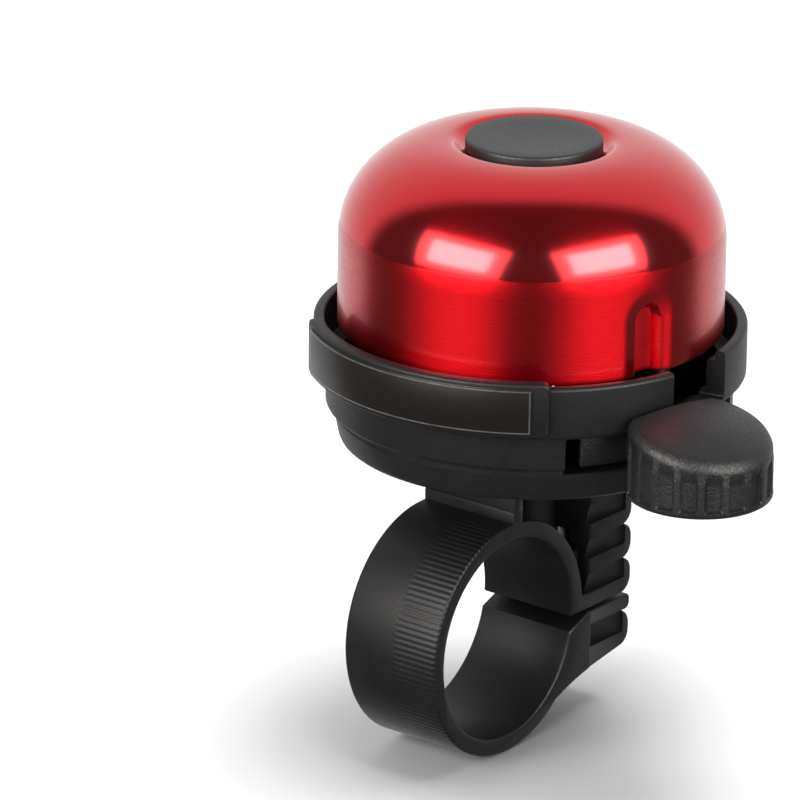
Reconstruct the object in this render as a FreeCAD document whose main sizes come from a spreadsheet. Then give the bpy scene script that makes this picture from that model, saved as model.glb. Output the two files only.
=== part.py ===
import FreeCAD, Part
import math
import os
import re
import Sketcher

# A thumb-lever bicycle bell. The origin is the centre of the clamp bore, +X runs along the handlebar,
# +Z points up through the dome, and the bell's own axis stands bell_offset towards +Y.
# Sizes in millimetres and degrees. "Level" means a height above the underside of the base disc.

SIZES = {
    # Handlebar clamp
    "bore_radius": 11.1,
    "band_wall": 1.9,
    "band_width": 12.1,
    "bell_offset": 10.6,
    "disc_height": 18.9,
    "front_wall_start": 0.45,
    "front_wall": 1.55,
    "boss_radius": 3.0,
    "column_start": 14.15,
    "column_length": 7.45,
    "rib_pitch": 3.95,
    "rib_recess": 2.15,
    "rib_depth": 0.65,
    "rib_end_depth": 1.45,
    "split_top": -0.8,
    "split_gap": 0.4,
    "split_flare": 1.3,
    "plate_thick": 1.8,
    "lug_thick": 5.4,
    "lug_foot": 1.2,
    "lug_groove": 2.5,
    "lug_fillet": 13.0,
    # Clamp screw, washer and nut
    "screw_axis": 16.9,
    "screw_radius": 1.48,
    "screw_hole": 1.6,
    "screw_head_radius": 2.8,
    "screw_head": 2.0,
    "screw_reach": 9.0,
    "washer_radius": 3.1,
    "washer_thick": 0.5,
    "washer_sink": 0.5,
    "nut_flats": 5.5,
    "nut_thick": 2.4,
    "nut_level": 5.2,
    "cross_width": 0.8,
    "cross_depth": 0.9,
    # Base disc and the three screws that hold the upper housing on it
    "disc_under_radius": 20.2,
    "disc_radius": 20.9,
    "disc_thick": 3.1,
    "housing_screw_circle": 17.8,
    "housing_screw_radius": 1.1,
    "housing_screw_length": 6.6,
    "housing_head_radius": 2.0,
    "housing_head": 1.2,
    "housing_boss_radius": 2.6,
    "housing_boss_top": 8.2,
    "first_screw_angle": 60.0,
    # Upper housing: tub wall, shelf and collar
    "seat_rib": 0.6,
    "parting_gap": 0.7,
    "tub_inner": 20.2,
    "tub_outer": 21.8,
    "shelf_under": 7.95,
    "shelf_thick": 1.05,
    "collar_outer": 23.15,
    "collar_wall": 1.2,
    "collar_top": 13.55,
    "window_start": -42.5,
    "window_end": 26.0,
    "window_top": 7.4,
    "gap_start": -12.0,
    "gap_end": 10.0,
    "gap_floor": 8.4,
    "end_block_angle": 5.0,
    "end_block_depth": 1.0,
    "end_block_top": 12.4,
    # Label pad and the blank plate on it
    "pad_half_angle": 42.5,
    "pad_proud": 0.8,
    "pad_bottom": 8.3,
    "pad_top": 14.3,
    "plate_half_angle": 38.0,
    "plate_bottom": 8.7,
    "plate_height": 5.1,
    "plate_foil": 0.2,
    # Dome
    "dome_radius": 20.65,
    "dome_wall": 1.0,
    "dome_rim": 12.95,
    "dome_shoulder": 22.5,
    "shoulder_radius": 10.2,
    "crown_radius": 11.9,
    "crown_turn": 45.0,
    "recess_depth": 1.0,
    "recess_lip": 0.5,
    "recess_slope": 1.3,
    "dent_angle": -15.5,
    "dent_half_width": 2.2,
    "dent_depth": 1.45,
    "dent_top": 20.3,
    # Centre post, sleeve and cap
    "thread_radius": 2.0,
    "post_depth": 9.0,
    "post_flange_radius": 4.5,
    "post_flange": 0.9,
    "journal_radius": 3.5,
    "journal_length": 5.0,
    "thrust_thick": 0.5,
    "sleeve_radius": 5.0,
    "seat_washer_radius": 6.5,
    "seat_washer": 1.0,
    "cap_radius": 7.32,
    "cap_height": 1.4,
    "cap_dish": 0.25,
    "cap_edge": 0.35,
    "cap_stem_radius": 3.3,
    "cap_stem_length": 6.0,
    "insert_radius": 2.6,
    "insert_length": 5.0,
    # Thumb lever
    "hub_radius": 5.0,
    "fan_thick": 2.0,
    "fan_start": -37.0,
    "fan_end": 14.0,
    "lever_travel": 22.0,
    "skirt_wall": 1.3,
    "skirt_bottom": 3.4,
    "skirt_top": 7.6,
    "arm_angle": -13.0,
    "arm_half_angle": 9.0,
    "arm_bottom": 3.5,
    "arm_top": 7.0,
    "thumb_circle": 28.0,
    "thumb_radius": 7.45,
    "thumb_bottom": 1.65,
    "thumb_top": 10.6,
    "thumb_crown": 22.0,
    "thumb_clearance": 0.45,
    "rib_angle": 19.5,
    "thumb_rib_width": 0.9,
    "thumb_rib_proud": 0.35,
    "peg_radius": 0.8,
    "peg_circle": 8.6,
    "peg_top": 8.6,
    "stop_radius": 1.2,
    "stop_circle": 14.0,
    # Hammer
    "pivot_circle": 9.6,
    "pivot_angle": 2.0,
    "pin_radius": 0.9,
    "pin_boss_radius": 1.8,
    "pin_boss_top": 8.2,
    "hammer_hub_radius": 2.2,
    "hammer_plate": 2.0,
    "hammer_reach": 7.0,
    "hammer_width": 2.6,
    "head_radius": 2.2,
    "head_length": 5.0,
    "head_level": 13.5,
    "head_stub_radius": 0.8,
    "head_chamfer": 0.4,
    "clip_thick": 0.4,
    "clip_radius": 2.0,
    # Springs
    "return_coil_radius": 5.9,
    "return_wire_radius": 0.35,
    "return_pitch": 0.8,
    "return_quarters": 10,
    "return_leg": 4.0,
    "hammer_coil_radius": 2.35,
    "hammer_wire_radius": 0.2,
    "hammer_pitch": 0.5,
    "hammer_quarters": 12,
    "hammer_leg": 2.5,
    # Clearances
    "running_gap": 0.05,
    "free_gap": 0.1,
}

doc = FreeCAD.newDocument("bicycle_bell")
sheet = doc.addObject("Spreadsheet::Sheet", "Sizes")
for row, (alias, size) in enumerate(SIZES.items(), start=1):
    sheet.set(f"A{row}", alias)
    sheet.set(f"B{row}", str(size))
    sheet.setAlias(f"B{row}", alias)
doc.recompute()

parts = {}


def sized(text):
    """Turn each size's name in an expression into its cell on the sheet."""
    return re.sub(r"[a-z_]+", lambda word: f"Sizes.{word[0]}" if word[0] in SIZES else word[0], text)


def value(text):
    return float(sheet.evalExpression(sized(text)))


def bind(item, **sizes):
    """Bind each named property of an object to an expression; double underscores stand for dots."""
    for name, text in sizes.items():
        item.setExpression(name.replace("__", "."), sized(str(text)))
    return item


def at(item, x="0", y="0", z="0", turn=None):
    bind(item, Placement__Base__x=x, Placement__Base__y=y, Placement__Base__z=z)
    if turn is not None:
        bind(item, Placement__Rotation__Angle=turn)
    return item


def box(name, x_range, y_range, z_range):
    item = doc.addObject("Part::Box", name)
    for prop, (low, high) in zip(("Length", "Width", "Height"), (x_range, y_range, z_range)):
        bind(item, **{prop: f"({high}) - ({low})"})
    return at(item, x_range[0], y_range[0], z_range[0])


def cylinder(name, radius, bottom, top, x="0", y="0"):
    item = doc.addObject("Part::Cylinder", name)
    bind(item, Radius=radius, Height=f"({top}) - ({bottom})")
    return at(item, x, y, bottom)


def crosswise(name, radius, half_length):
    """A cylinder along X, centred on the origin."""
    item = doc.addObject("Part::Cylinder", name)
    item.Placement = FreeCAD.Placement(FreeCAD.Vector(), FreeCAD.Rotation(FreeCAD.Vector(0, 1, 0), 90))
    bind(item, Radius=radius, Height=f"2 * ({half_length})")
    return bind(item, Placement__Base__x=f"-({half_length})")


def sector(name, inner, outer, bottom, top, start, end):
    """A slice of a ring about Z, from the start angle to the end angle."""
    whole = cylinder(f"{name}_outer", outer, bottom, top)
    bind(whole, Angle=f"({end}) - ({start})", Placement__Rotation__Angle=start)
    if inner is None:
        return whole
    return cut(name, whole, cylinder(f"{name}_inner", inner, f"({bottom}) - 1", f"({top}) + 1"))


def cut(name, base, *tools):
    item = doc.addObject("Part::Cut", name)
    item.Base = base
    item.Tool = tools[0] if len(tools) == 1 else fuse(f"{name}_tools", *tools)
    return item


def fuse(name, *pieces):
    item = doc.addObject("Part::MultiFuse", name)
    item.Shapes = list(pieces)
    item.Refine = True
    return item


def common(name, first, second):
    item = doc.addObject("Part::MultiCommon", name)
    item.Shapes = [first, second]
    return item


def group(name, *pieces):
    item = doc.addObject("Part::Compound", name)
    item.Links = list(pieces)
    return item


def outline(body, name, role, corners):
    """A closed sketch on one of the body's own planes. A corner is (x, y), or (x, y, radius) where the
    edge that leaves it is an arc; "cw" as a fourth value turns that arc clockwise."""
    sketch = body.newObject("Sketcher::SketchObject", name)
    plane = next(f for f in body.Origin.OriginFeatures if f.Role == role)
    sketch.AttachmentSupport = [(plane, "")]
    sketch.MapMode = "FlatFace"
    places = [FreeCAD.Vector(value(c[0]), value(c[1]), 0) for c in corners]
    ends = []
    for index, corner in enumerate(corners):
        here = places[index]
        there = places[(index + 1) % len(corners)]
        if len(corner) == 2:
            sketch.addGeometry(Part.LineSegment(here, there))
            ends.append((1, 2))
            continue
        radius = value(corner[2])
        clockwise = len(corner) == 4
        chord = there - here
        rise = math.sqrt(radius ** 2 - (chord.Length / 2) ** 2)
        left = FreeCAD.Vector(-chord.y, chord.x, 0).normalize()
        centre = (here + there) / 2 + left * (-rise if clockwise else rise)
        angles = [math.atan2(p.y - centre.y, p.x - centre.x) for p in (here, there)]
        if clockwise:
            angles.reverse()
        circle = Part.Circle(centre, FreeCAD.Vector(0, 0, 1), radius)
        sketch.addGeometry(Part.ArcOfCircle(circle, *angles))
        ends.append((2, 1) if clockwise else (1, 2))
    for index, corner in enumerate(corners):
        after = (index + 1) % len(corners)
        joined = Sketcher.Constraint("Coincident", index, ends[index][1], after, ends[after][0])
        sketch.addConstraint(joined)
        for kind, text, size in zip(("DistanceX", "DistanceY"), corner, places[index]):
            number = sketch.addConstraint(Sketcher.Constraint(kind, index, ends[index][0], size))
            sketch.setExpression(f"Constraints[{number}]", sized(text))
        if len(corner) > 2:
            number = sketch.addConstraint(Sketcher.Constraint("Radius", index, value(corner[2])))
            sketch.setExpression(f"Constraints[{number}]", sized(corner[2]))
    return sketch


def turned(name, corners):
    """A body turned about Z from its half section."""
    body = doc.addObject("PartDesign::Body", name)
    sketch = outline(body, f"{name}_section", "XZ_Plane", corners)
    turn = body.newObject("PartDesign::Revolution", f"{name}_turn")
    turn.Profile = sketch
    turn.ReferenceAxis = (sketch, ["V_Axis"])
    return body


def side_plate(name, corners, width):
    """A body padded both ways in X from its outline on the YZ plane."""
    body = doc.addObject("PartDesign::Body", name)
    sketch = outline(body, f"{name}_outline", "YZ_Plane", corners)
    pad = body.newObject("PartDesign::Pad", f"{name}_pad")
    pad.Profile = sketch
    pad.SideType = "Symmetric"
    bind(pad, Length=width)
    return body


def around(radius, angle):
    """The x and y of a place on a circle about Z."""
    return f"({radius}) * cos({angle})", f"({radius}) * sin({angle})"


def on_bell(item):
    """Stand a piece drawn about the bell's own axis, from the disc's underside, in its place."""
    return at(item, "0", "bell_offset", "disc_height")


def on_disc(name, radius, bottom, top, place):
    """A cylinder about a place on the disc, between two levels."""
    x, y = place
    return cylinder(name, radius, f"disc_height + ({bottom})", f"disc_height + ({top})", x, f"bell_offset + ({y})")


def name_part(node, item):
    item.Label = node
    parts[node] = item
    return item


def cross_recess(name, top, depth, x="0", y="0"):
    """The two crossed slots of a screw head, cut upwards from the head's face."""
    half = "cross_width / 2"
    bars = []
    for number, (width, length) in enumerate(((half, "2 * cross_width"), ("2 * cross_width", half))):
        span_x = (f"({x}) - ({width})", f"({x}) + ({width})")
        span_y = (f"({y}) - ({length})", f"({y}) + ({length})")
        bars.append(box(f"{name}_{number}", span_x, span_y, (f"({top}) - 1", f"({top}) + ({depth})")))
    return fuse(name, *bars)


SCREW_PLACES = [around("housing_screw_circle", f"first_screw_angle + {number} * 120") for number in range(3)]
HALF_BAND = "band_width / 2"
COLUMN_END = "column_start + column_length"
CORE_END = "column_start + column_length - rib_end_depth"
LUG_TOP = "split_top - split_gap"
LUG_FOOT = "split_top - split_gap - lug_thick"
SCREW_SEAT = f"{LUG_FOOT} + washer_sink"


def side_recess(name, bottom, height):
    """The recess that runs round the column's two sides and its far end between two ribs."""
    span_y = ("column_start", f"{COLUMN_END} + 1")
    span_z = (bottom, f"({bottom}) + ({height})")
    outer = box(f"{name}_outer", (f"-({HALF_BAND}) - 1", f"{HALF_BAND} + 1"), span_y, span_z)
    inner_x = (f"-({HALF_BAND}) + rib_depth", f"{HALF_BAND} - rib_depth")
    inner_z = (f"({bottom}) - 1", f"({bottom}) + ({height}) + 1")
    inner = box(f"{name}_inner", inner_x, ("column_start - 1", CORE_END), inner_z)
    return cut(name, outer, inner)


def clamp_base():
    """The lower moulding: base disc, neck, split handlebar band and its two lugs."""
    band_outer = "bore_radius + band_wall"
    full_width = (f"-({HALF_BAND})", HALF_BAND)
    band = crosswise("band", band_outer, HALF_BAND)
    disc = on_bell(turned("disc", [
        ("0", "0"),
        ("disc_under_radius", "0"),
        ("disc_radius", "disc_thick"),
        ("0", "disc_thick"),
    ]))
    wall_span = ("front_wall_start", "front_wall_start + front_wall")
    front_wall = box("front_wall", full_width, wall_span, ("bore_radius + 0.5", "disc_height + 0.5"))
    boss = cylinder("post_boss", "boss_radius", "0", "disc_height + 0.5", y="bell_offset")
    column = box("column", full_width, ("column_start", COLUMN_END), ("split_top", "disc_height + 0.5"))
    web_span = ("bore_radius - 2", "column_start + 0.5")
    web = box("web", full_width, web_span, ("split_top", "bore_radius / 2"))
    lug = side_plate("lug", [
        ("bore_radius * 0.7", "-bore_radius * 0.93"),
        ("column_start", f"{LUG_FOOT} - lug_foot / 4", "lug_fillet", "cw"),
        (COLUMN_END, LUG_FOOT),
        (COLUMN_END, LUG_TOP),
        ("bore_radius * 0.7", LUG_TOP),
    ], "band_width")
    stops = []
    for number, (edge, side) in enumerate((("fan_start", "-1"), ("fan_end + lever_travel", "1"))):
        reach = "(stop_radius + running_gap) / stop_circle * 180 / pi"
        place = around("stop_circle", f"{edge} + {side} * ({reach})")
        stops.append(on_disc(f"stop_{number}", "stop_radius", "1", "skirt_top - 1", place))
    peg = on_disc("base_peg", "peg_radius", "1", "peg_top", around("peg_circle", "-120"))
    solid = fuse("clamp_solid", band, disc, front_wall, boss, column, web, lug, peg, *stops)

    bore = crosswise("bore", "bore_radius", f"{HALF_BAND} + 1")
    split = side_plate("split", [
        ("bore_radius * 0.8", "split_top"),
        (f"{COLUMN_END} + 1", "split_top"),
        (f"{COLUMN_END} + 1", LUG_TOP),
        ("column_start", LUG_TOP),
        ("bore_radius * 0.8", f"{LUG_TOP} - split_flare"),
    ], "band_width + 2")
    cuts = [bore, split]
    for number in range(3):
        bottom = f"split_top + plate_thick + {number} * rib_pitch"
        cuts.append(side_recess(f"column_recess_{number}", bottom, "rib_recess"))
    cuts.append(side_recess("lug_recess", f"{LUG_FOOT} + lug_foot", "lug_groove"))
    cuts.append(cylinder("screw_hole", "screw_hole", f"{LUG_FOOT} - 1", "screw_reach + 1.5", y="screw_axis"))
    seat_radius = "washer_radius + free_gap"
    cuts.append(cylinder("washer_seat", seat_radius, f"{LUG_FOOT} - 2", SCREW_SEAT, y="screw_axis"))
    half_corner = "nut_flats / sqrt(3) + free_gap"
    pocket_y = ("column_start - 1", "screw_axis + nut_flats / 2 + free_gap")
    pocket_z = ("nut_level - running_gap", "nut_level + nut_thick + running_gap")
    cuts.append(box("nut_pocket", (f"-({half_corner})", half_corner), pocket_y, pocket_z))
    cuts.append(cylinder("post_hole", "thread_radius + running_gap", "disc_height - post_depth - 0.5",
                         "disc_height + disc_thick + 1", y="bell_offset"))
    for number, place in enumerate(SCREW_PLACES):
        hole = "housing_screw_radius + free_gap"
        cuts.append(on_disc(f"base_screw_hole_{number}", hole, "-1", "disc_thick + 1", place))
        seat = "housing_head_radius + free_gap"
        cuts.append(on_disc(f"head_seat_{number}", seat, "-1", "housing_head", place))
    return cut("clamp_base", solid, *cuts)


def upper_housing():
    """The upper moulding: tub wall, shelf, collar with its gap, and the raised label pad."""
    collar_inner = "collar_outer - collar_wall"
    shelf_top = "shelf_under + shelf_thick"
    ring = turned("housing_ring", [
        ("tub_inner", "disc_thick"),
        ("tub_inner + seat_rib", "disc_thick"),
        ("tub_inner + seat_rib", "disc_thick + parting_gap"),
        ("tub_outer", "disc_thick + parting_gap"),
        ("tub_outer", "shelf_under"),
        ("collar_outer", "shelf_under"),
        ("collar_outer", "collar_top"),
        (collar_inner, "collar_top"),
        (collar_inner, shelf_top),
        ("tub_inner", shelf_top),
    ])
    pad = sector("label_pad", f"{collar_inner} + collar_wall / 2", "collar_outer + pad_proud",
                 "pad_bottom", "pad_top", "-90 - pad_half_angle", "-90 + pad_half_angle")
    end_block = sector("end_block", f"{collar_inner} - end_block_depth", "collar_outer - collar_wall / 2",
                       "shelf_under + shelf_thick / 2", "end_block_top", "gap_end", "gap_end + end_block_angle")
    bosses = []
    holes = []
    for number, place in enumerate(SCREW_PLACES):
        boss = cylinder(f"housing_boss_{number}", "housing_boss_radius", "disc_thick", "housing_boss_top", *place)
        bosses.append(boss)
        holes.append(cylinder(f"boss_hole_{number}", "housing_screw_radius + running_gap", "disc_thick - 1",
                              "housing_screw_length + 0.3", *place))
    solid = fuse("housing_solid", ring, pad, end_block, *bosses)
    beyond = "collar_outer + 2"
    window = sector("window", None, beyond, "disc_thick - 1", "window_top", "window_start", "window_end")
    gap = sector("collar_gap", None, beyond, "gap_floor", "pad_top + 1", "gap_start", "gap_end")
    gap = cut("collar_gap_ring", gap, cylinder("gap_core", "tub_inner - 1", "0", "pad_top + 2"))
    return on_bell(cut("upper_housing", solid, window, gap, *holes))


def label_plate():
    """The blank foil plate on the label pad."""
    inner = "collar_outer + pad_proud + free_gap / 10"
    return on_bell(sector("label_plate", inner, f"{inner} + plate_foil", "plate_bottom",
                          "plate_bottom + plate_height", "-90 - plate_half_angle", "-90 + plate_half_angle"))


# The crown of the dome is two tangent arcs. Their centres and meeting place follow from the radii.
SHOULDER_X = "dome_radius - shoulder_radius"
CROWN_X = "dome_radius - shoulder_radius - (crown_radius - shoulder_radius) * cos(crown_turn)"
CROWN_LEVEL = "dome_shoulder - (crown_radius - shoulder_radius) * sin(crown_turn)"
DOME_TOP = f"{CROWN_LEVEL} + crown_radius"
SEAT_TOP = f"{DOME_TOP} - recess_depth"


def dome():
    """The struck metal dome: straight wall, crown, centre recess and the dent that the hammer strikes."""
    meet_x = f"{SHOULDER_X} + shoulder_radius * cos(crown_turn)"
    meet_level = "dome_shoulder + shoulder_radius * sin(crown_turn)"
    recess_edge = "cap_radius + running_gap + recess_slope"
    shell = turned("dome_shell", [
        ("dome_radius - dome_wall", "dome_rim"),
        ("dome_radius", "dome_rim"),
        ("dome_radius", "dome_shoulder", "shoulder_radius"),
        (meet_x, meet_level, "crown_radius"),
        (CROWN_X, DOME_TOP),
        (recess_edge, f"{DOME_TOP} - recess_lip / 2"),
        ("cap_radius + 0.3", SEAT_TOP),
        ("cap_stem_radius + 3 * free_gap", SEAT_TOP),
        ("cap_stem_radius + 3 * free_gap", f"{SEAT_TOP} - dome_wall"),
        ("cap_radius + 0.8", f"{SEAT_TOP} - dome_wall"),
        (CROWN_X, f"{DOME_TOP} - dome_wall", "crown_radius - dome_wall", "cw"),
        (f"{meet_x} - dome_wall * cos(crown_turn)", f"{meet_level} - dome_wall * sin(crown_turn)",
         "shoulder_radius - dome_wall", "cw"),
        ("dome_radius - dome_wall", "dome_shoulder"),
    ])

    def dent_shape(name, near, far, half_width, bottom, top):
        """An upright slot with a round top, between two distances from the axis."""
        centre = f"({top}) - ({half_width})"
        slot = box(f"{name}_slot", (near, far), (f"-({half_width})", half_width), (bottom, centre))
        round_top = doc.addObject("Part::Cylinder", f"{name}_round")
        outward = FreeCAD.Rotation(FreeCAD.Vector(0, 1, 0), 90)
        round_top.Placement = FreeCAD.Placement(FreeCAD.Vector(), outward)
        bind(round_top, Radius=half_width, Height=f"({far}) - ({near})")
        at(round_top, near, "0", centre)
        return at(fuse(name, slot, round_top), turn="dent_angle")

    floor = "dome_radius - dent_depth"
    wide = "dent_half_width + dome_wall"
    bump = dent_shape("dent_bump", f"{floor} - dome_wall", f"{floor} + dome_wall", wide, "dome_rim",
                      "dent_top + dome_wall")
    pocket = dent_shape("dent_pocket", floor, "dome_radius + 1", "dent_half_width", "dome_rim - 1", "dent_top")
    return on_bell(cut("dome", fuse("dented_shell", shell, bump), pocket))


def dome_cap():
    """The round cap that screws down on the post and clamps the dome."""
    top = f"{SEAT_TOP} + cap_height"
    bore = "insert_radius + running_gap"
    return on_bell(turned("dome_cap", [
        (bore, f"{SEAT_TOP} - cap_stem_length"),
        ("cap_stem_radius", f"{SEAT_TOP} - cap_stem_length"),
        ("cap_stem_radius", SEAT_TOP),
        ("cap_radius", SEAT_TOP),
        ("cap_radius", f"{top} - cap_edge"),
        ("cap_radius - cap_edge", top),
        ("cap_radius - 4 * cap_edge", f"{top} - cap_dish / 2"),
        ("0", f"{top} - cap_dish"),
        ("0", f"{SEAT_TOP} - cap_stem_length + insert_length + 2 * running_gap"),
        (bore, f"{SEAT_TOP} - cap_stem_length + insert_length + 2 * running_gap"),
    ]))


def cap_insert():
    """The threaded brass bush inside the cap."""
    bottom = f"{SEAT_TOP} - cap_stem_length"
    return on_bell(turned("cap_insert", [
        ("thread_radius + running_gap", bottom),
        ("insert_radius", bottom),
        ("insert_radius", f"{bottom} + insert_length"),
        ("thread_radius + running_gap", f"{bottom} + insert_length"),
    ]))


JOURNAL_BOTTOM = "disc_thick + post_flange"
JOURNAL_TOP = "disc_thick + post_flange + journal_length"
SLEEVE_BOTTOM = f"{JOURNAL_TOP} + thrust_thick"
SLEEVE_TOP = f"{SEAT_TOP} - dome_wall - seat_washer"


def centre_post():
    """The stepped steel post: screwed into the base boss, journal for the lever, thread for the cap."""
    return on_bell(turned("centre_post", [
        ("0", "-post_depth"),
        ("thread_radius", "-post_depth"),
        ("thread_radius", "disc_thick"),
        ("post_flange_radius", "disc_thick"),
        ("post_flange_radius", JOURNAL_BOTTOM),
        ("journal_radius", JOURNAL_BOTTOM),
        ("journal_radius", JOURNAL_TOP),
        ("thread_radius", JOURNAL_TOP),
        ("thread_radius", f"{SEAT_TOP} - cap_stem_length + insert_length"),
        ("0", f"{SEAT_TOP} - cap_stem_length + insert_length"),
    ]))


def thrust_washer():
    """The steel washer that keeps the lever's hub on the journal."""
    return on_bell(turned("thrust_washer", [
        ("thread_radius + free_gap", JOURNAL_TOP),
        ("hub_radius + 0.4", JOURNAL_TOP),
        ("hub_radius + 0.4", SLEEVE_BOTTOM),
        ("thread_radius + free_gap", SLEEVE_BOTTOM),
    ]))


def dome_sleeve():
    """The sleeve that carries the dome above the lever."""
    step = f"{SEAT_TOP} - cap_stem_length - 5 * free_gap"
    wide_bore = "cap_stem_radius + 2 * free_gap"
    return on_bell(turned("dome_sleeve", [
        ("thread_radius + free_gap", SLEEVE_BOTTOM),
        ("sleeve_radius", SLEEVE_BOTTOM),
        ("sleeve_radius", SLEEVE_TOP),
        (wide_bore, SLEEVE_TOP),
        (wide_bore, step),
        ("thread_radius + free_gap", step),
    ]))


def seat_washer():
    """The rubber washer between the sleeve and the dome."""
    return on_bell(turned("dome_washer", [
        ("cap_stem_radius + 2 * free_gap", SLEEVE_TOP),
        ("seat_washer_radius", SLEEVE_TOP),
        ("seat_washer_radius", f"{SLEEVE_TOP} + seat_washer"),
        ("cap_stem_radius + 2 * free_gap", f"{SLEEVE_TOP} + seat_washer"),
    ]))


FAN_BOTTOM = f"{JOURNAL_BOTTOM} + free_gap"
FAN_TOP = f"{JOURNAL_BOTTOM} + free_gap + fan_thick"
SKIRT_OUTER = "tub_inner - 3 * free_gap"


def thumb_lever():
    """Hub, fan plate, skirt behind the window, arm and ribbed thumb piece, in one moulding."""
    hub = cylinder("lever_hub", "hub_radius", FAN_BOTTOM, f"{JOURNAL_TOP} - free_gap")
    fan = sector("lever_fan", None, SKIRT_OUTER, FAN_BOTTOM, FAN_TOP, "fan_start", "fan_end")
    skirt = sector("lever_skirt", f"{SKIRT_OUTER} - skirt_wall", SKIRT_OUTER, "skirt_bottom", "skirt_top",
                   "fan_start", "fan_end")
    arm = sector("lever_arm", f"{SKIRT_OUTER} - skirt_wall", "thumb_circle - thumb_radius / 2", "arm_bottom",
                 "arm_top", "arm_angle - arm_half_angle", "arm_angle + arm_half_angle")
    boss_x, boss_y = around("pivot_circle", "pivot_angle")
    pin_boss = cylinder("pin_boss", "pin_boss_radius", FAN_BOTTOM, "pin_boss_top", boss_x, boss_y)
    peg_x, peg_y = around("peg_circle", "fan_start + 8")
    peg = cylinder("lever_peg", "peg_radius", FAN_BOTTOM, "peg_top", peg_x, peg_y)

    # The thumb piece is drawn with its own centre straight out along +X and turned to the arm's angle.
    barrel = cylinder("thumb_barrel", "thumb_radius", "thumb_bottom", "thumb_top + 1", "thumb_circle")
    ribs = []
    half_count = 5
    for number in range(-half_count, half_count + 1):
        rib = box(f"thumb_rib_{number + half_count}", ("thumb_radius - 1", "thumb_radius + thumb_rib_proud"),
                  ("-thumb_rib_width / 2", "thumb_rib_width / 2"), ("thumb_bottom", "thumb_top + 1"))
        ribs.append(at(group(f"thumb_rib_turned_{number + half_count}", rib), turn=f"{number} * rib_angle"))
    # each rib turns about the barrel's axis before the ring of ribs moves out to it
    rib_ring = at(fuse("thumb_ribs", *ribs), "thumb_circle")
    inner_face = "collar_outer + thumb_clearance"
    crown = doc.addObject("Part::Sphere", "thumb_crown")
    bind(crown, Radius="thumb_crown")
    at(crown, "collar_outer + 1", "0", "thumb_top - thumb_crown")
    crowned = common("thumb_crowned", fuse("thumb_ribbed", barrel, rib_ring), crown)
    hollow = cylinder("thumb_inside", inner_face, "-1", "thumb_top + 2")
    thumb = at(cut("thumb_piece", crowned, hollow), turn="arm_angle")

    solid = fuse("lever_solid", hub, fan, skirt, arm, pin_boss, peg, thumb)
    bore = cylinder("hub_bore", "journal_radius + running_gap", "0", f"{JOURNAL_TOP} + 1")
    pin_hole = cylinder("pin_hole", "pin_radius + free_gap / 10", "0", "pin_boss_top + 1", boss_x, boss_y)
    return on_bell(cut("thumb_lever", solid, bore, pin_hole))


HAMMER_BOTTOM = "pin_boss_top + 2 * free_gap"
HAMMER_TOP = "pin_boss_top + 2 * free_gap + hammer_plate"


def on_pivot(item):
    """Stand a piece drawn about the hammer's pivot, with +X away from the bell's axis, in its place."""
    x, y = around("pivot_circle", "pivot_angle")
    return at(item, x, f"bell_offset + ({y})", "disc_height", turn="pivot_angle")


def hammer_arm():
    """The arm that swings on the pin and carries the striker on a riser."""
    eye = cylinder("hammer_eye", "hammer_hub_radius", HAMMER_BOTTOM, HAMMER_TOP)
    half = "hammer_width / 2"
    bar = box("hammer_bar", ("0", "hammer_reach"), (f"-({half})", half), (HAMMER_BOTTOM, HAMMER_TOP))
    riser = cylinder("hammer_riser", half, HAMMER_BOTTOM, "head_level", "hammer_reach")
    stub_top = "head_level + head_length / 2"
    stub = cylinder("hammer_stub", "head_stub_radius", "head_level - 1", stub_top, "hammer_reach")
    solid = fuse("hammer_solid", eye, bar, riser, stub)
    hole = cylinder("hammer_hole", "pin_radius + running_gap", "0", "head_level")
    return on_pivot(cut("hammer_arm", solid, hole))


def hammer_head():
    """The steel striker, a chamfered slug with a blind hole for the arm's stub."""
    hole = "head_stub_radius + running_gap"
    hole_top = "head_level + head_length / 2 + running_gap"
    head_top = "head_level + head_length"
    slug = turned("striker", [
        (hole, "head_level"),
        ("head_radius - head_chamfer", "head_level"),
        ("head_radius", "head_level + head_chamfer"),
        ("head_radius", f"{head_top} - head_chamfer"),
        ("head_radius - head_chamfer", head_top),
        ("0", head_top),
        ("0", hole_top),
        (hole, hole_top),
    ])
    return on_pivot(group("hammer_head", at(slug, "hammer_reach")))


def hammer_pin():
    """The headed pin pressed in the lever's boss."""
    return on_pivot(turned("hammer_pin", [
        ("0", FAN_BOTTOM),
        ("pin_radius", FAN_BOTTOM),
        ("pin_radius", f"{HAMMER_TOP} + clip_thick + 8 * free_gap"),
        ("0", f"{HAMMER_TOP} + clip_thick + 8 * free_gap"),
    ]))


def pin_clip():
    """The push-on clip that keeps the hammer on its pin."""
    return on_pivot(turned("pin_clip", [
        ("pin_radius + free_gap / 10", f"{HAMMER_TOP} + 2 * free_gap"),
        ("clip_radius", f"{HAMMER_TOP} + 2 * free_gap"),
        ("clip_radius", f"{HAMMER_TOP} + 2 * free_gap + clip_thick"),
        ("pin_radius + free_gap / 10", f"{HAMMER_TOP} + 2 * free_gap + clip_thick"),
    ]))


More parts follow.
